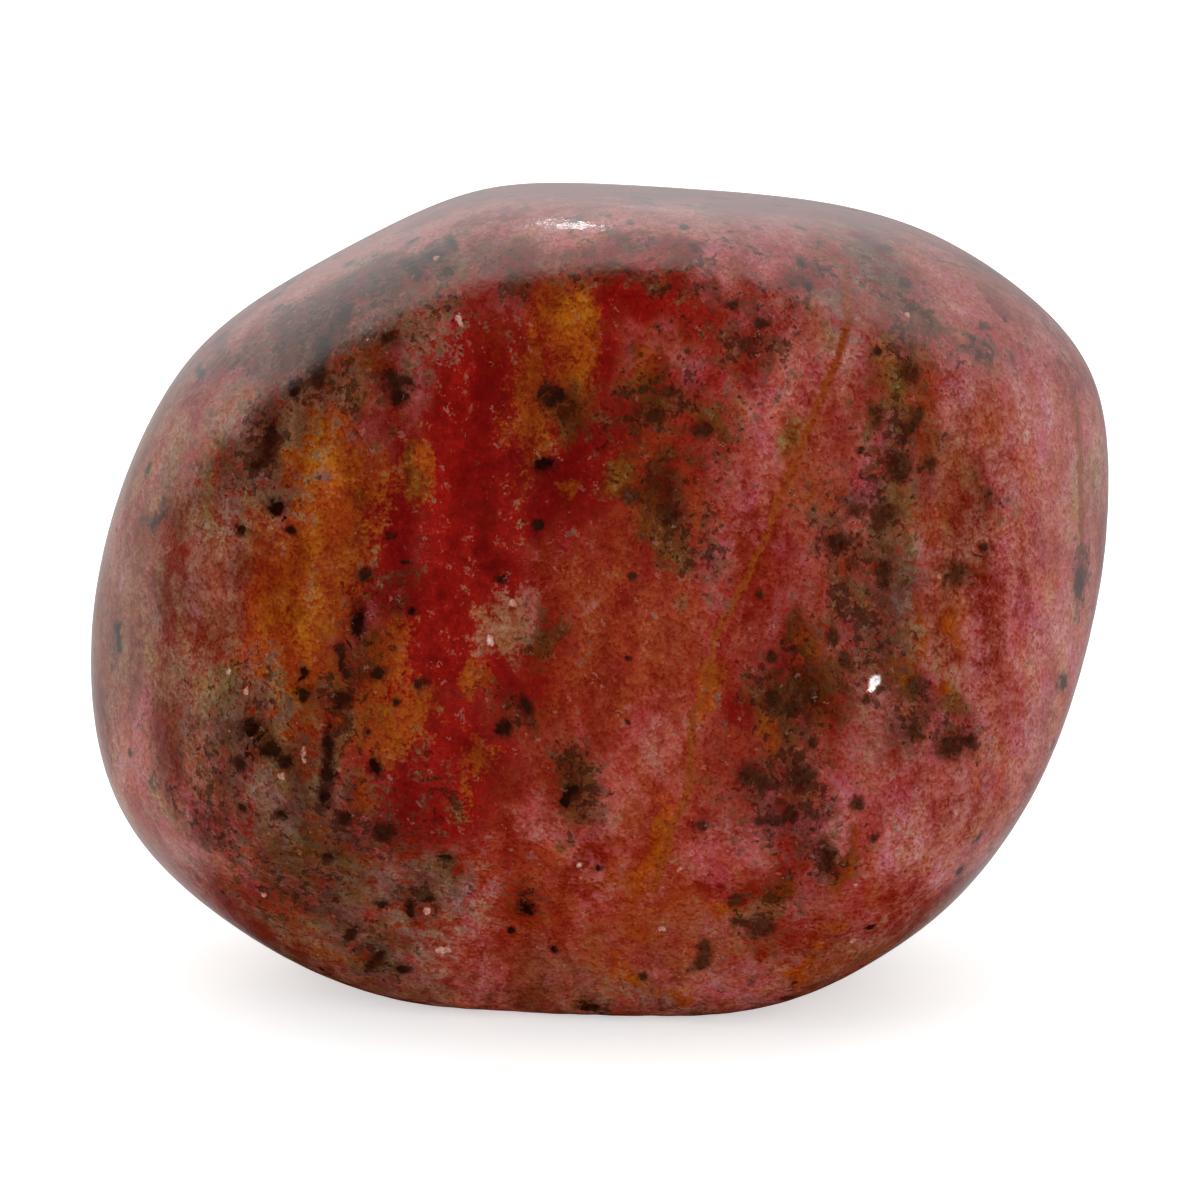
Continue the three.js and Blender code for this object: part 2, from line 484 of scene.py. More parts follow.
for mineral, rows in PATCHES.items():
    fields[mineral] = patch_field(rows)
    if mineral == FOOT_FIELD:
        foot = 1 - drifted_corners[:, 2] / (2 * FOOT_HEIGHT) + mottling
        fields[mineral] = np.maximum(fields[mineral], foot)
    percent = round(100 * (fields[mineral] > 0.5).mean())
    print(mineral, "covers", percent, "percent of the skin")

# %% [markdown]
# ## Flecks
# Black manganese oxide sits in small sharp specks. Paler grains, painted glints and one white
# spot lie among them; a painted glint is a pale speck that stands in for the polish catching
# the light. A speck can be smaller than the space between the skin's corners, so a plain mask
# stored on the corners would lose it. Instead each corner stores its offset from the nearest
# speck, in units of that speck's size. An offset changes evenly from corner to corner, so the
# material can find the speck's true outline between them.

# %% Where the flecks lie
DARK_FLECKS = [
    (395, 384, 24, 20), (397, 396, 14, 18), (404, 397, 8, 10), (389, 337, 15, 13), (366, 575, 13, 12),
    (358, 622, 12, 27), (341, 656, 9, 20), (347, 673, 9, 10), (303, 671, 9, 9), (304, 694, 15, 12),
    (341, 698, 17, 13), (378, 673, 11, 10), (396, 702, 7, 7), (390, 538, 10, 9), (407, 562, 12, 4),
    (412, 612, 9, 8), (328, 748, 11, 36), (328, 776, 12, 28, 12), (324, 796, 9, 16), (368, 732, 7, 7),
    (376, 767, 13, 16), (344, 819, 11, 10), (445, 857, 15, 9), (430, 898, 8, 7), (410, 911, 9, 17),
    (505, 727, 13, 14), (527, 706, 16, 8, 60), (571, 791, 12, 11), (564, 802, 9, 9), (547, 388, 12, 10),
    (558, 396, 14, 12), (549, 402, 10, 9), (540, 396, 8, 9), (545, 464, 15, 13), (538, 525, 9, 8),
    (624, 393, 9, 7), (644, 389, 7, 6), (668, 392, 11, 8), (658, 327, 9, 7), (687, 351, 7, 6),
    (630, 497, 15, 12), (670, 517, 15, 13), (632, 577, 7, 6), (760, 594, 6, 6), (628, 659, 5, 5),
    (628, 722, 5, 5), (271, 436, 12, 22), (268, 452, 12, 16), (256, 466, 14, 12), (276, 507, 18, 14),
    (243, 530, 13, 10), (290, 531, 9, 8), (876, 412, 12, 12), (874, 424, 11, 12), (861, 450, 7, 7),
    (908, 430, 13, 11), (898, 462, 18, 14), (900, 474, 14, 13), (885, 513, 20, 15), (878, 526, 13, 10),
    (855, 510, 13, 11), (837, 542, 17, 14), (884, 569, 11, 14), (884, 582, 11, 12), (985, 548, 11, 9),
    (958, 574, 24, 20), (794, 650, 7, 7), (772, 657, 8, 8), (772, 698, 11, 12), (773, 710, 10, 10),
    (792, 709, 12, 10), (814, 694, 8, 16), (916, 686, 20, 18), (915, 731, 13, 11), (749, 775, 18, 18),
    (762, 783, 13, 13), (801, 776, 22, 18), (829, 855, 12, 15), (827, 867, 13, 13), (822, 844, 6, 8),
    (856, 804, 13, 11), (791, 814, 10, 10), (777, 822, 9, 8), (758, 821, 9, 8), (873, 839, 8, 8),
    (736, 900, 13, 12), (736, 921, 10, 10), (759, 926, 20, 16), (705, 948, 12, 18), (704, 962, 11, 14),
    (693, 969, 10, 9), (643, 976, 8, 8), (598, 866, 8, 7), (702, 825, 12, 10), (790, 875, 5, 12),
    (511, 930, 6, 6), (553, 949, 8, 7), (526, 908, 14, 12), (420, 685, 12, 10), (502, 579, 10, 9),
    (383, 832, 18, 16), (381, 903, 12, 10), (949, 747, 22, 20), (970, 740, 9, 8), (200, 372, 22, 8, 60),
    (345, 313, 12, 18, 30), (322, 350, 12, 26, 20), (318, 378, 14, 14), (294, 390, 12, 14),
    (412, 268, 26, 12, 50), (434, 256, 18, 10), (452, 243, 18, 8, 60), (446, 272, 12, 10),
    (252, 728, 24, 14), (268, 748, 20, 16), (240, 764, 12, 12), (284, 760, 16, 14), (243, 808, 10, 8),
    (281, 814, 14, 10), (330, 857, 12, 9), (352, 934, 26, 9, -55), (374, 962, 30, 9, -50),
    (404, 969, 18, 9), (118, 627, 7, 9), (119, 645, 6, 12), (1079, 582, 9, 26), (983, 326, 12, 9),
    (912, 372, 14, 16), (918, 414, 12, 14), (930, 466, 11, 12), (876, 352, 10, 8), (905, 283, 12, 9),
    (886, 248, 12, 7), (801, 262, 8, 12), (808, 287, 9, 9), (733, 305, 12, 8), (762, 322, 14, 8),
    (744, 345, 11, 8), (702, 430, 16, 13), (655, 416, 15, 12), (846, 661, 10, 16, -35), (832, 636, 9, 12),
    (866, 700, 9, 9), (812, 742, 9, 11),
]
WHITE_SPOTS = [(875, 681, 10, 13, 20), (869, 692, 5, 5)]
# Pale grains, and painted glints: some of these specks, such as the streak on the top ridge, are pale
# colour that stands in for the polish catching the light.
PALE_FLECKS_AND_GLINTS = [
    (436, 258, 6, 6), (673, 211, 5, 5), (907, 314, 5, 5), (940, 577, 5, 6), (368, 340, 5, 5),
    (963, 601, 5, 5), (1027, 435, 8, 15), (1044, 469, 6, 10), (957, 811, 7, 6), (445, 951, 12, 9),
    (427, 911, 6, 6), (264, 895, 6, 6), (662, 929, 6, 5), (680, 870, 5, 5), (853, 941, 6, 5),
    (579, 865, 5, 5), (856, 885, 5, 5), (228, 672, 6, 5), (246, 690, 5, 7), (268, 702, 6, 5),
    (226, 730, 7, 5), (282, 776, 6, 6), (304, 755, 5, 12), (460, 320, 14, 5, 70), (512, 602, 7, 6),
    (490, 640, 6, 8),
]
FLECK_DEPTH_SHARE = 2.2
FLECK_LEAST_DEPTH = 0.5
FAR_AWAY = 20.0
SIDE_FLECKS = 170
SIDE_FLECK_RADII = (0.16, 0.55)
SIDE_FLECK_SPREAD = (0.6, 1.4)
RIM_FACING = 0.6
FLECK_SEED = 11
BROWN_FLECKS_FROM = 620
BLACK_TONES = (0.6, 1.0)
BROWN_TONES = (0.0, 0.5)
print("flecks read from the photo:", len(DARK_FLECKS) + len(PALE_FLECKS_AND_GLINTS) + len(WHITE_SPOTS))

# %% Work out the fleck fields
chance = np.random.default_rng(FLECK_SEED)


def side_flecks():
    """Random flecks round the rim, where the photo places hardly any."""
    facing = corner_normals @ np.array(view_forward)
    rim_corners = np.flatnonzero(np.abs(facing) < RIM_FACING)
    for corner in chance.choice(rim_corners, SIDE_FLECKS, replace=False):
        radii = chance.uniform(*SIDE_FLECK_RADII) * chance.uniform(*SIDE_FLECK_SPREAD, 3)
        yield (corners - corners[corner]) / radii, chance.uniform(0, 1)


def photo_flecks(rows):
    """The flecks read from the photo. Those on its right are browner, so of a lower tone."""
    for x, y, *rest in rows:
        tone = chance.uniform(*(BLACK_TONES if x < BROWN_FLECKS_FROM else BROWN_TONES))
        for side, place_y in ((FRONT, y), (BACK, IMAGE_SIDE - y)):
            offsets = local_offsets(
                corners, (x, place_y, *rest), side, FLECK_DEPTH_SHARE, FLECK_LEAST_DEPTH
            )
            if offsets is not None:
                yield offsets, tone


def fleck_fields(flecks):
    """For each corner, the offset from the nearest fleck, how far off it is and its tone."""
    nearest = np.full(corner_count, FAR_AWAY)
    offset_field = np.full((corner_count, 3), FAR_AWAY)
    tone_field = np.zeros(corner_count)
    for offsets, tone in flecks:
        distance = np.linalg.norm(offsets, axis=1)
        closer = distance < nearest
        nearest[closer] = distance[closer]
        offset_field[closer] = offsets[closer]
        tone_field[closer] = tone
    return offset_field, nearest, tone_field


FLECK_KINDS = {
    "dark_fleck": [*photo_flecks(DARK_FLECKS), *side_flecks()],
    "pale_fleck_and_glint": [*photo_flecks(PALE_FLECKS_AND_GLINTS)],
    "white_spot": [*photo_flecks(WHITE_SPOTS)],
}
for fleck_kind, flecks in FLECK_KINDS.items():
    offset_field, distance_field, tone_field = fleck_fields(flecks)
    write_vector(fleck_kind + "_offset", offset_field)
    fields[fleck_kind + "_distance"] = distance_field
    fields[fleck_kind + "_tone"] = tone_field
    print(fleck_kind, len(flecks), "placed")

# %% [markdown]
# ## Veins and hairline cracks
# One thin vein of brown stain climbs the right half of the stone, and short open cracks
# follow its upper right rim. Each is a line of a few points. A corner stores how far it
# lies across the nearest stretch, with a sign for the side, so that the line can be far
# thinner than the mesh.

# %% Where the lines run
VEINS = [
    [(846, 272), (848, 323), (838, 359), (820, 398), (804, 441), (779, 498), (763, 543),
     (744, 584), (716, 635), (706, 694)],
    [(706, 694), (692, 718), (690, 788), (670, 832), (655, 883)],
    [(1076, 410), (1080, 470), (1083, 560)],
]
CRACKS = [
    [(906, 231), (936, 243)], [(936, 246), (956, 254)], [(945, 262), (970, 269)],
    [(968, 261), (996, 273)], [(1018, 296), (1038, 311)], [(1048, 328), (1063, 345)],
    [(1064, 356), (1079, 374)], [(101, 704), (106, 720)],
]


def line_fields(lines):
    """The signed distance across the nearest stretch of line, and the plain distance, in mm."""
    nearest = np.full(corner_count, FAR_AWAY)
    across_field = np.full(corner_count, FAR_AWAY)
    for line in lines:
        points = [point for point in (on_stone(x, y) for x, y in line) if point is not None]
        for start, end in zip(points, points[1:]):
            stretch = end - start
            length = np.linalg.norm(stretch)
            sideways = np.cross(np.array(view_forward), stretch / length)
            away = corners - start
            share = np.clip(away @ stretch / length ** 2, 0, 1)
            distance = np.linalg.norm(away - share[:, None] * stretch, axis=1)
            closer = distance < nearest
            nearest[closer] = distance[closer]
            across_field[closer] = (away @ sideways)[closer]
    return across_field, nearest


for line_kind, lines in {"vein": VEINS, "crack": CRACKS}.items():
    fields[line_kind + "_across"], fields[line_kind + "_distance"] = line_fields(lines)
    print(line_kind, len(lines), "lines")

# %% [markdown]
# ## Storing the fields
# A renderer reads a vector about as fast as a number, so the fields are stored three at a
# time, as the parts of a vector. The three numbers of the tinge become three multipliers
# here: one number sets how deep the colour is, one how pale, and one whether it leans to
# rose or to orange.

# %% Turn the tinge into three multipliers
TINGE_DEPTH = (0.2, 0.0, 0.0)
TINGE_PALENESS = (0.2, 2.4, 2.7)
TINGE_ROSE = (0.0, -0.7, 2.0)
TINGE_RANGE = (0.3, 1.6)
tinge_parts = corner_values(layers["tinge"].data, "vector", 3) - 0.5
multipliers = 1 + tinge_parts @ np.array([TINGE_DEPTH, TINGE_PALENESS, TINGE_ROSE])
multipliers = np.clip(multipliers, *TINGE_RANGE)
layers["tinge"].data.foreach_set("vector", multipliers.astype(np.float32).ravel())
print("tinge multiplies by", multipliers.min().round(2), "to", multipliers.max().round(2))

# %% Store the fields three at a time
for slow_name in ("cloud", "mottle"):
    fields[slow_name] = corner_values(layers[slow_name].data, "value", 1)
    layers.remove(layers[slow_name])
field_names = list(fields)
field_homes = {}
for first in range(0, len(field_names), 3):
    names_here = field_names[first:first + 3]
    parts = [fields[name] for name in names_here]
    parts += [np.zeros(corner_count)] * (3 - len(parts))
    home = f"fields_{first // 3}"
    write_vector(home, np.stack(parts, axis=1))
    for part, name in enumerate(names_here):
        field_homes[name] = (home, part)
print(len(field_names), "fields are stored, up to", home)

# %% [markdown]
# ## The finish: polished rhodonite
# Rhodonite is a glassy silicate with a refractive index of about 1.73, so even bare stone
# is a strong mirror at its edges. Tumbling leaves a satin gloss, not an optical polish,
# because the grains stand apart a little. The colour is built the way the stone is: a red
# ground of packed grains, then one soft mineral after another, then the veins and flecks,
# and last the fine grain over everything.

# %% Coordinates and noises
polished_stone.use_nodes = True
finish = polished_stone.node_tree
finish.nodes.clear()

object_place = add(finish, "ShaderNodeTexCoord").outputs["Object"]
in_mm = add(finish, "ShaderNodeVectorMath", {0: object_place, "Scale": 1 / MM}, operation="SCALE")
opened_homes = {}


def stored_field(name):
    """A field of the skin, taken out of the attribute that it shares."""
    home, part = field_homes[name]
    if home not in opened_homes:
        whole_vector = add(finish, "ShaderNodeAttribute", attribute_name=home).outputs["Vector"]
        opened_homes[home] = add(finish, "ShaderNodeSeparateXYZ", {0: whole_vector}).outputs
    return opened_homes[home][part]


# Each noise has the size of what it stands for, in millimetres, a detail and a roughness.
NOISES = {"speck": (1.0, 3.0, 0.62), "pepper": (0.62, 2.0, 0.6), "grain": (0.24, 1.0, 0.6)}
uncentred = {name: stored_field(name) for name in ("cloud", "mottle")}
for noise_name, (size, detail, roughness) in NOISES.items():
    uncentred[noise_name] = add(
        finish, "ShaderNodeTexNoise",
        {"Vector": in_mm, "Scale": 1 / size, "Detail": detail, "Roughness": roughness},
        label=noise_name,
    )
noise = {
    name: add(finish, "ShaderNodeMath", {0: value, 1: 0.5}, operation="SUBTRACT")
    for name, value in uncentred.items()
}
print("noises:", ", ".join(noise))

# %% [markdown]
# ## Packed grains
# Massive rhodonite is a mosaic of small grains. Here they are the cells of a grid, turned
# so that no side of the stone lies along it, and bent by the noises until it doesn't show.
# Each cell has three random numbers of its own: how pale it is, whether it glints and
# whether it is oxide.

# %% Grains
GRAIN_SIZE = 0.26
GRAIN_TURN = (0.6, 0.5, 0.8)
GRAIN_BEND = 1.1
turned = add(finish, "ShaderNodeMapping", {"Vector": in_mm, "Rotation": GRAIN_TURN})
bend = add(
    finish, "ShaderNodeCombineXYZ", {0: noise["speck"], 1: noise["pepper"], 2: noise["grain"]}
)
bend = add(finish, "ShaderNodeVectorMath", {0: bend, "Scale": GRAIN_BEND}, operation="SCALE")
bent = add(finish, "ShaderNodeVectorMath", {0: turned, 1: bend}, operation="ADD")
cell = add(finish, "ShaderNodeVectorMath", {0: bent, 1: (GRAIN_SIZE,) * 3}, operation="SNAP")
cell_colour = add(finish, "ShaderNodeTexWhiteNoise", {"Vector": cell}).outputs["Color"]
cell_numbers = add(finish, "ShaderNodeSeparateColor", {0: cell_colour}).outputs
for cell_use, number in zip(("paleness", "glint", "oxide"), cell_numbers):
    noise[cell_use] = add(finish, "ShaderNodeMath", {0: number, 1: 0.5}, operation="SUBTRACT")
print("grains, mm:", GRAIN_SIZE)

# %% [markdown]
# ## Two steps for every mineral
# Minerals, stains and flecks all go on in the same way. A field is roughened by the noises
# and cut to a soft mask, and the mask decides how thickly a colour covers what is below.
# Some colours are pairs, and a tone then chooses between the two.


# %% Masks and layers
def with_noises(value, shares):
    """The value, with a share of each named noise added."""
    for noise_name, share in shares.items():
        value = add(
            finish, "ShaderNodeMath", {0: noise[noise_name], 1: share, 2: value},
            operation="MULTIPLY_ADD",
        )
    return value


def rough_mask(field, shares, low, high, at_low=0.0, at_high=1.0):
    """A mask that goes from one value to another as the roughened field passes low to high."""
    return add(
        finish, "ShaderNodeMapRange",
        {"Value": with_noises(field, shares), "From Min": low, "From Max": high,
         "To Min": at_low, "To Max": at_high},
        interpolation_type="SMOOTHSTEP",
    )


def lay_on(under, mask, colours, tone=None, blend_type="MIX"):
    """Lays a colour over what is below, as thickly as the mask says. A tone picks of two."""
    over = colours[0] if tone is None else lay_on(colours[0], tone, colours[1:])
    return add(
        finish, "ShaderNodeMix", {"Factor": mask, "A": under, "B": over},
        data_type="RGBA", blend_type=blend_type,
    ).outputs["Result"]


# %% [markdown]
# ## The ground and the pink minerals
# A soft mineral's edge is where its field is one half, or further in if it comes in
# blotches. Its colours are the deepest and the palest that it shows.

# %% Lay the pink minerals on
GROUND_DEEP = "#681202"
GROUND_LIGHT = "#8a2e1a"
SHADE_NOISES = {"cloud": 1.0, "mottle": 1.3, "speck": 0.9}
SHADE_ENDS = (0.15, 0.85)
shade = rough_mask(0.5, SHADE_NOISES, *SHADE_ENDS)
colour = lay_on(linear(GROUND_DEEP), shade, [linear(GROUND_LIGHT)])

# A row gives the field, both colours, the shares of speck and of grain in the outline, where
# the edge is, how far it is soft to either side, and the cover.
PINK_MINERALS = [
    ("rose_pink", "#782818", "#a04a44", 0.5, 0.3, 0.5, 0.24, 0.9),
    ("mauve", "#58280f", "#885440", 0.8, 0.4, 0.5, 0.24, 0.85),
    ("salmon", "#6e1c04", "#8e3620", 0.5, 0.3, 0.5, 0.26, 0.85),
]


def lay_mineral(under, field, deep, light, speck, grain, edge, soft, cover):
    """Lays a mineral over what is below, inside its roughened outline."""
    shares = {"speck": speck, "grain": grain}
    mask = rough_mask(stored_field(field), shares, edge - soft, edge + soft, at_high=cover)
    return lay_on(under, mask, [linear(deep), linear(light)], shade)


for mineral in PINK_MINERALS:
    colour = lay_mineral(colour, *mineral)
print("pink minerals:", ", ".join(mineral[0] for mineral in PINK_MINERALS))

# %% [markdown]
# ## Glazes
# Iron and manganese tint the pink unevenly. Three thin glazes do this: rust, deep red and
# pink. Each has a colour and a thickness, and follows one part of the drift, so they come
# in different places.

# %% Glaze the pink minerals
GLAZES = [("#823404", 0.5), ("#740602", 0.4), ("#a85650", 0.45)]
GLAZE_NOISES = {"speck": 0.35, "mottle": 0.4, "oxide": 0.06}
GLAZE_ENDS = (0.5, 0.64)
stored_drift = add(finish, "ShaderNodeAttribute", attribute_name="drift").outputs["Vector"]
drift_parts = add(finish, "ShaderNodeSeparateXYZ", {0: stored_drift}).outputs
for (glaze_colour, cover), drift_part in zip(GLAZES, drift_parts):
    mask = rough_mask(drift_part, GLAZE_NOISES, *GLAZE_ENDS, at_high=cover)
    colour = lay_on(colour, mask, [linear(glaze_colour)])
print("glazes:", len(GLAZES))

# %% [markdown]
# ## The clear minerals
# The rest lie over the glazes, so that each keeps its own clear colour: the pale pink of the
# stone's right side, which along the top edge is painted sheen, a paler band that stands in
# for the polish's reflection there; the deep crimson band, the amber band beside it, the grey
# ash round the dark corners, and the smoke of fine oxide.

# %% Lay the clear minerals on
CLEAR_MINERALS = [
    # The pale pink also paints the sheen along the top edge.
    ("pale_pink_and_sheen", "#904438", "#ac665c", 0.5, 0.3, 0.5, 0.3, 0.8),
    ("crimson", "#5a0000", "#860a00", 0.6, 0.4, 0.5, 0.2, 1.0),
    ("olive", "#3e1c00", "#744208", 0.9, 0.5, 0.5, 0.24, 0.8),
    ("amber", "#682200", "#903c00", 0.7, 0.5, 0.5, 0.16, 0.97),
    ("gold", "#844000", "#9c5404", 1.0, 0.6, 0.5, 0.3, 0.6),
    ("tan", "#6e3c1c", "#8e6446", 1.4, 0.8, 0.5, 0.22, 0.6),
    ("ash", "#3a2418", "#866a54", 2.4, 1.2, 0.54, 0.3, 0.72),
    ("smoke", "#260f02", "#582c12", 3.0, 1.2, 0.66, 0.3, 0.74),
]
for mineral in CLEAR_MINERALS:
    colour = lay_mineral(colour, *mineral)
print("clear minerals:", ", ".join(mineral[0] for mineral in CLEAR_MINERALS))

# %% [markdown]
# ## The tinge
# Close up, no two millimetres of the stone have quite the same colour: one is paler, the
# next leans to orange or to rose. The tinge that the corners carry multiplies red, green
# and blue each by its own amount.

# %% Tinge the colour
tinge = add(finish, "ShaderNodeAttribute", attribute_name="tinge").outputs["Vector"]
colour = add(finish, "ShaderNodeVectorMath", {0: colour, 1: tinge}, operation="MULTIPLY")
print("nodes up to the tinge:", len(finish.nodes))

# %% [markdown]
# ## Veins, cracks and flecks
# These have sharp edges. The stored offsets give their true outlines, and the noises keep
# them from looking drawn. The second field, the distance, switches the mask off away from
# the mineral, where two neighbouring offsets could cancel out. A brown stain surrounds
# each dark fleck.

# %% Lay the lines on
# A row gives the line's kind, colour, half width in millimetres, share of speck and cover.
LINES = [("vein", "#7a3408", 0.22, 0.8, 0.95), ("crack", "#2a0d08", 0.06, 0.12, 0.6)]
LINE_EDGE_SHARES = (0.4, 1.6)
LINE_FADE = (0.54, 0.9)
for line_kind, line_colour, half_width, speck, cover in LINES:
    across = with_noises(stored_field(line_kind + "_across"), {"speck": speck})
    width_off = add(finish, "ShaderNodeMath", {0: across}, operation="ABSOLUTE")
    ends = [half_width * share for share in LINE_EDGE_SHARES]
    profile = rough_mask(width_off, {}, *ends, cover, 0.0)
    near = rough_mask(stored_field(line_kind + "_distance"), {}, *LINE_FADE, 1.0, 0.0)
    mask = add(finish, "ShaderNodeMath", {0: profile, 1: near}, operation="MULTIPLY")
    colour = lay_on(colour, mask, [linear(line_colour)])
print("half widths of the lines, mm:", {line[0]: line[2] for line in LINES})

# %% Stain the stone round the dark flecks
STAIN = (0.42, 0.36, 0.26, 1.0)
WHITE = (1.0, 1.0, 1.0, 1.0)
STAIN_NOISES = {"speck": 1.8, "pepper": 1.2}
STAIN_ENDS = (0.8, 2.1)
STAIN_COVER = 0.9
distance = stored_field("dark_fleck_distance")
stain = rough_mask(distance, STAIN_NOISES, *STAIN_ENDS, STAIN_COVER, 0.0)
colour = lay_on(colour, 1.0, [WHITE, STAIN], stain, "MULTIPLY")
print("the stain ends", STAIN_ENDS[1], "fleck radii out")

# %% Lay the flecks on
# A row gives the fleck's kind, faint and strong colours, cover and shares of the noises.
FLECKS = [
    ("dark_fleck", "#42200e", "#0c0200", 0.9, {"speck": 2.2, "pepper": 2.2, "oxide": 0.3}),
    # The pale row is partly painted glints, pale specks that stand in for light caught by the polish.
    ("pale_fleck_and_glint", "#9a604c", "#c09888", 0.8, {"speck": 2.2, "pepper": 2.0, "oxide": 0.7}),
    ("white_spot", "#f4ece6", "#fbf6f2", 1.0, {"speck": 0.8, "pepper": 0.6, "oxide": 0.3}),
]
FLECK_ENDS = (0.54, 1.22)
FLECK_SWITCH_OFF = 1.9
for fleck_kind, faint, strong, cover, shares in FLECKS:
    offset_here = add(finish, "ShaderNodeAttribute", attribute_name=fleck_kind + "_offset")
    size_off = add(
        finish, "ShaderNodeVectorMath", {0: offset_here.outputs["Vector"]}, operation="LENGTH"
    ).outputs["Value"]
    profile = rough_mask(size_off, shares, *FLECK_ENDS, cover, 0.0)
    near = add(
        finish, "ShaderNodeMath",
        {0: stored_field(fleck_kind + "_distance"), 1: FLECK_SWITCH_OFF}, operation="LESS_THAN",
    )
    mask = add(finish, "ShaderNodeMath", {0: profile, 1: near}, operation="MULTIPLY")
    tone = stored_field(fleck_kind + "_tone")
    colour = lay_on(colour, mask, [linear(faint), linear(strong)], tone)
print("kinds of fleck:", ", ".join(fleck[0] for fleck in FLECKS))

# %% [markdown]
# ## Pepper
# Between the flecks that are placed one by one, the oxide is a fine pepper. It is thick
# where the smoke is thick and almost absent elsewhere: the smoke field lowers the level
# above which the noise shows as a speck. Single grains decide its outline.

# %% Pepper the stone
PEPPER_LEVEL = 0.25
PEPPER_EDGE = 0.1
PEPPER_THICKENING = 0.31
PEPPER_COVER = 0.7
PEPPER_NOISES = {"mottle": 0.5, "oxide": 0.12}
PEPPER_COLOUR = "#2c0600"
thickened = add(
    finish, "ShaderNodeMath",
    {0: stored_field("smoke"), 1: PEPPER_THICKENING, 2: noise["pepper"]},
    operation="MULTIPLY_ADD",
)
pepper_top = PEPPER_LEVEL + PEPPER_EDGE
pepper = rough_mask(thickened, PEPPER_NOISES, PEPPER_LEVEL, pepper_top, at_high=PEPPER_COVER)
colour = lay_on(colour, pepper, [linear(PEPPER_COLOUR)])
print("pepper covers up to", PEPPER_COVER)

# %% [markdown]
# ## Grain
# The grains lighten and darken the colour under them. Green and blue change more than red,
# because a paler grain is also a less coloured one. A few grains glint.

# %% Grain over the colour
GRAIN_DARK = (0.76, 0.36, 0.18, 1.0)
GRAIN_PALE = (1.2, 1.55, 1.85, 1.0)
GRAIN_NOISES = {"paleness": 0.7, "grain": 1.5, "pepper": 0.6}
GLINT_COLOUR = "#b08070"
GLINT_ENDS = (0.488, 0.496)
GLINT_COVER = 0.2
tone = add(finish, "ShaderNodeClamp", {"Value": with_noises(0.5, GRAIN_NOISES)})
colour = lay_on(colour, 1.0, [GRAIN_DARK, GRAIN_PALE], tone, "MULTIPLY")
glints = rough_mask(noise["glint"], {}, *GLINT_ENDS, at_high=GLINT_COVER)
colour = lay_on(colour, glints, [linear(GLINT_COLOUR)])
print("share of the grains that glint:", round(0.5 - sum(GLINT_ENDS) / 2, 3))

# %% [markdown]
# ## Gloss
# The grains stand a few hundredths of a millimetre apart, so the gloss sparkles a little
# instead of lying flat.

# %% Gloss and shader
GLOSS_ROUGHNESS = 0.15
GLOSS_NOISES = {"mottle": 0.12}
REFRACTIVE_INDEX = 1.73
BUMP_HEIGHT = 0.05 * MM
BUMP_STRENGTH = 0.6
bump = add(
    finish, "ShaderNodeBump",
    {"Strength": BUMP_STRENGTH, "Distance": BUMP_HEIGHT, "Height": noise["pepper"]},
)
shader = add(
    finish, "ShaderNodeBsdfPrincipled",
    {"Base Color": colour, "Roughness": with_noises(GLOSS_ROUGHNESS, GLOSS_NOISES),
     "IOR": REFRACTIVE_INDEX, "Normal": bump},
)
add(finish, "ShaderNodeOutputMaterial", {"Surface": shader})
print("nodes in the stone's finish:", len(finish.nodes))

# %% Hand the stone to the frame
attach(stone, "root")
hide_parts("rhodonite_stone")

# %% [markdown]
# ## The studio
# The stone stands on a lit white table that curves up behind it. A white room and two soft
# lights light the surfaces, and none of them is seen in the polish.

# %% Table and backdrop
SWEEP_WIDTH = 6.0
SWEEP_FRONT = -3.0
SWEEP_BACK = 1.6
SWEEP_BEND = 0.8
SWEEP_TOP = 3.0
BEND_STEPS = 16
PAPER = {
    "Base Color": linear("#f4f4f2"), "Roughness": 0.9,
    "Emission Color": WHITE, "Emission Strength": 0.5,
}

angles = [math.radians(90) * step / BEND_STEPS for step in range(BEND_STEPS + 1)]
profile_points = [
    (SWEEP_FRONT, 0.0),
    *((SWEEP_BACK + SWEEP_BEND * math.sin(a), SWEEP_BEND * (1 - math.cos(a))) for a in angles),
    (SWEEP_BACK + SWEEP_BEND, SWEEP_TOP),
]
sweep_vertices = [(x, y, z) for y, z in profile_points for x in (-SWEEP_WIDTH / 2, SWEEP_WIDTH / 2)]
sweep_faces = [(2 * i, 2 * i + 1, 2 * i + 3, 2 * i + 2) for i in range(len(profile_points) - 1)]
sweep_mesh = bpy.data.meshes.new("white_table")
sweep_mesh.from_pydata(sweep_vertices, [], sweep_faces)
sweep_mesh.shade_smooth()
white_paper = bpy.data.materials.new("matt white paper")
white_paper.use_nodes = True
paper_shader = white_paper.node_tree.nodes["Principled BSDF"]
for socket, value in PAPER.items():
    paper_shader.inputs[socket].default_value = value
sweep_mesh.materials.append(white_paper)
sweep = put_in_scene("white_table", sweep_mesh)
sweep.visible_glossy = False
print("table, m:", SWEEP_WIDTH, "wide and", SWEEP_BACK - SWEEP_FRONT, "deep")

# %% [markdown]
# ## The light tent
# A polished stone looks like what it mirrors. Here that is a white tent which stands over,
# beside and behind the stone and is open in front. It is brightest overhead, a little
# dimmer on the left, on the right and low behind, and fades out towards the opening and at
# its foot. It is there for the polish alone: only mirror rays see it.

# %% Light tent
TENT_RADIUS = 0.9
TENT_SEGMENTS = 48
TENT_RINGS = 24
TENT_HEIGHT_SHARE = 0.35
TENT_FOOT_SPREAD = 0.7
STONE_MIDDLE = Vector((0, 0, stone_size.z / 2))

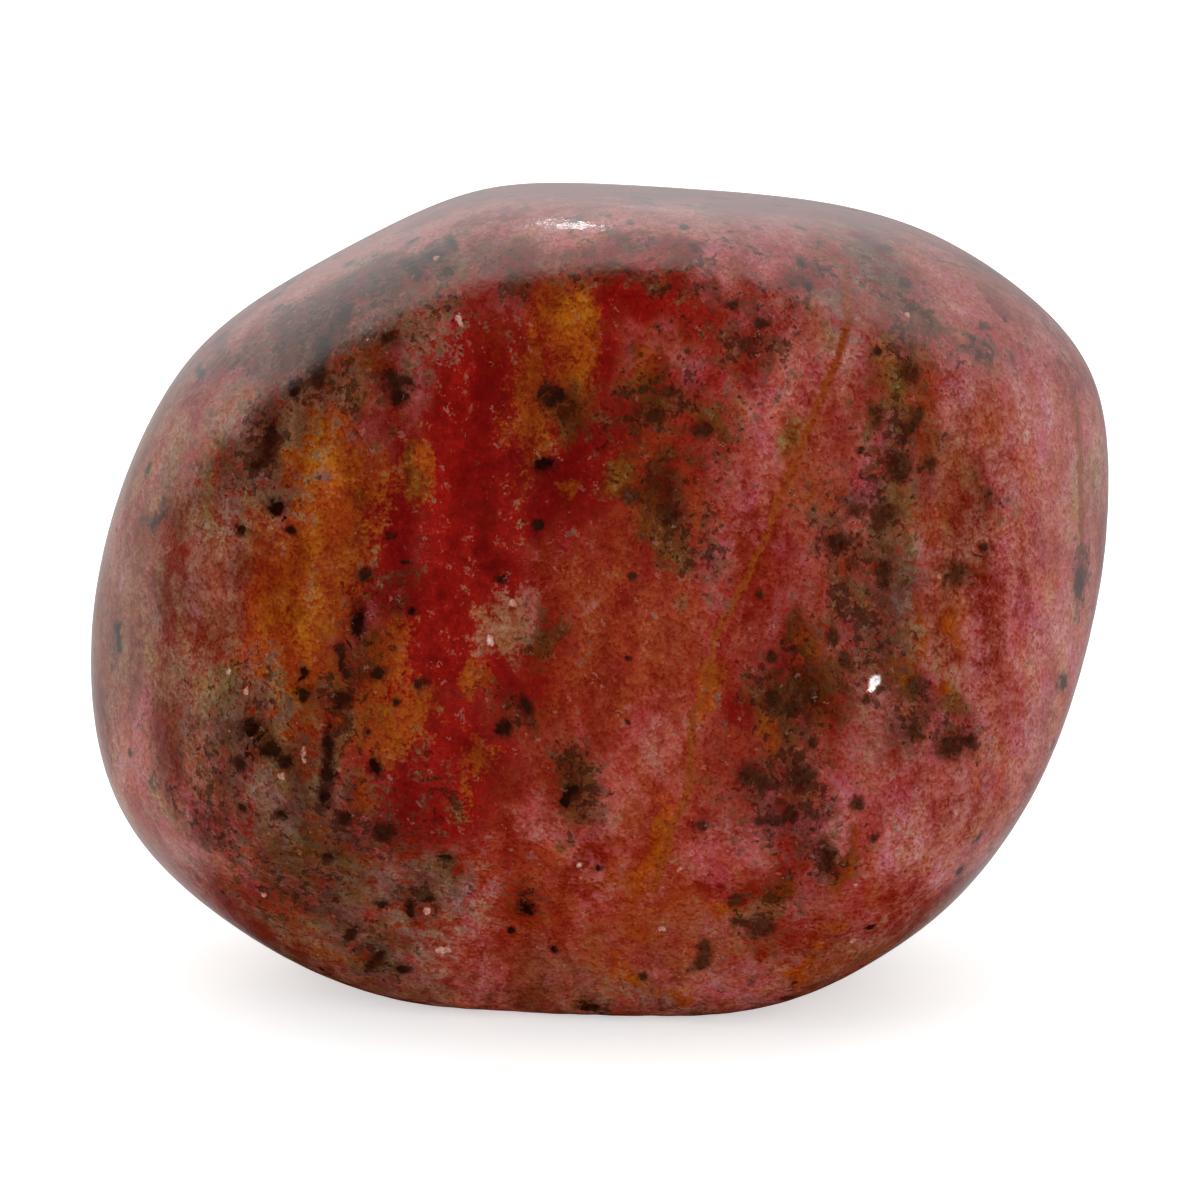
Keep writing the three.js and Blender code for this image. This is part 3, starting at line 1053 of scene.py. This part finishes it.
tent_mesh = bpy.data.meshes.new("light_tent")
tent_builder = bmesh.new()
bmesh.ops.create_uvsphere(
    tent_builder, u_segments=TENT_SEGMENTS, v_segments=TENT_RINGS, radius=TENT_RADIUS
)
tent_builder.to_mesh(tent_mesh)
tent_builder.free()
tent_light = bpy.data.materials.new("tent light")
tent_light.use_nodes = True
tent_light.cycles.emission_sampling = "NONE"
tent_tree = tent_light.node_tree
tent_tree.nodes.clear()
tent_place = add(tent_tree, "ShaderNodeTexCoord").outputs["Object"]
side = add(
    tent_tree, "ShaderNodeVectorMath", {0: tent_place, "Scale": 1 / TENT_RADIUS}, operation="SCALE"
)
side = add(tent_tree, "ShaderNodeSeparateXYZ", {0: side}).outputs
backness = add(
    tent_tree, "ShaderNodeMath", {0: side["Z"], 1: TENT_HEIGHT_SHARE, 2: side["Y"]},
    operation="MULTIPLY_ADD",
)
outness = add(tent_tree, "ShaderNodeMath", {0: side["X"]}, operation="ABSOLUTE")
footing = add(
    tent_tree, "ShaderNodeMath", {0: outness, 1: TENT_FOOT_SPREAD, 2: side["Z"]},
    operation="MULTIPLY_ADD",
)
behind = add(tent_tree, "ShaderNodeMath", {0: side["Y"], 1: side["Z"]}, operation="SUBTRACT")

# %% Fade the tent's light and hang it
# A row gives what the light follows, from where to where it changes, and its share at both.
TENT_FADES = {
    "overhead": (side["Z"], 0.15, 0.75, 0.88, 1.25),
    "opening": (backness, -0.2, 0.25, 0.0, 1.0),
    "foot": (footing, -0.36, -0.22, 0.0, 1.0),
    "right": (side["X"], -0.1, 0.5, 1.0, 0.72),
    "left": (side["X"], -0.75, -0.25, 0.8, 1.0),
    "low behind": (behind, 0.5, 1.0, 1.0, 0.6),
}
strength = 1.0
for value, start, end, at_start, at_end in TENT_FADES.values():
    fade = add(
        tent_tree, "ShaderNodeMapRange",
        {"Value": value, "From Min": start, "From Max": end, "To Min": at_start, "To Max": at_end},
        interpolation_type="SMOOTHSTEP",
    )
    strength = add(tent_tree, "ShaderNodeMath", {0: strength, 1: fade}, operation="MULTIPLY")
glow = add(tent_tree, "ShaderNodeEmission", {"Strength": strength})
add(tent_tree, "ShaderNodeOutputMaterial", {"Surface": glow})
tent_mesh.materials.append(tent_light)
tent = put_in_scene("light_tent", tent_mesh)
tent.location = STONE_MIDDLE
tent.visible_camera = False
tent.visible_diffuse = False
tent.visible_shadow = False
print("the tent's light changes:", ", ".join(TENT_FADES))

# %% Lights
# A row gives bearing and tilt in degrees, distance and sizes in metres, and radiance.
LIGHTS = {
    "key overhead": (-20, 70, 0.75, 0.6, 0.6, 0.4),
    "front fill": (10, 10, 0.8, 1.0, 0.6, 0.8),
}


def hang_light(name, middle, towards, distance, **settings):
    """Hangs an area light that shines back at the middle and that the camera doesn't see."""
    panel = bpy.data.lights.new(name, "AREA")
    for setting, value in settings.items():
        setattr(panel, setting, value)
    holder = put_in_scene(name, panel)
    holder.location = middle + towards * distance
    holder.rotation_euler = towards.to_track_quat("Z", "Y").to_euler()
    holder.visible_camera = False
    return holder


for light_name, (bearing, tilt, distance, width, tall, radiance) in LIGHTS.items():
    turn = math.radians(bearing)
    rise = math.radians(tilt)
    towards = Vector(
        (math.sin(turn) * math.cos(rise), -math.cos(turn) * math.cos(rise), math.sin(rise))
    )
    holder = hang_light(
        light_name, STONE_MIDDLE, towards, distance, shape="RECTANGLE", size=width, size_y=tall,
        energy=radiance * math.pi * width * tall,
    )
    holder.visible_glossy = False
print("lights:", ", ".join(LIGHTS))

# %% The glint lamp
# The camera sees it mirrored where the photo's bright glint is.
GLINT_X = 576
GLINT_Y = 224
GLINT_LAMP_DISTANCE = 0.6
GLINT_LAMP_SIZE = 0.03
GLINT_LAMP_POWER = 0.045
eye, glint_ray = ray_through(GLINT_X, GLINT_Y, FRONT)
hit, normal = skin_finder.ray_cast(eye, glint_ray)[:2]
glint_lamp = hang_light(
    "glint lamp", hit, glint_ray.reflect(normal), GLINT_LAMP_DISTANCE,
    shape="DISK", size=GLINT_LAMP_SIZE, energy=GLINT_LAMP_POWER,
)
glint_lamp.visible_diffuse = False
print("glint lamp at, m:", [round(part, 2) for part in glint_lamp.location])

# %% The white room
ROOM_LIGHT = 0.85
world = bpy.data.worlds.new("white room")
world.use_nodes = True
room_light = world.node_tree.nodes["Background"]
room_light.inputs["Color"].default_value = WHITE
room_light.inputs["Strength"].default_value = ROOM_LIGHT
world.cycles_visibility.glossy = False
bpy.context.scene.world = world
bpy.context.scene.view_settings.view_transform = "Standard"
print("light of the room:", ROOM_LIGHT)
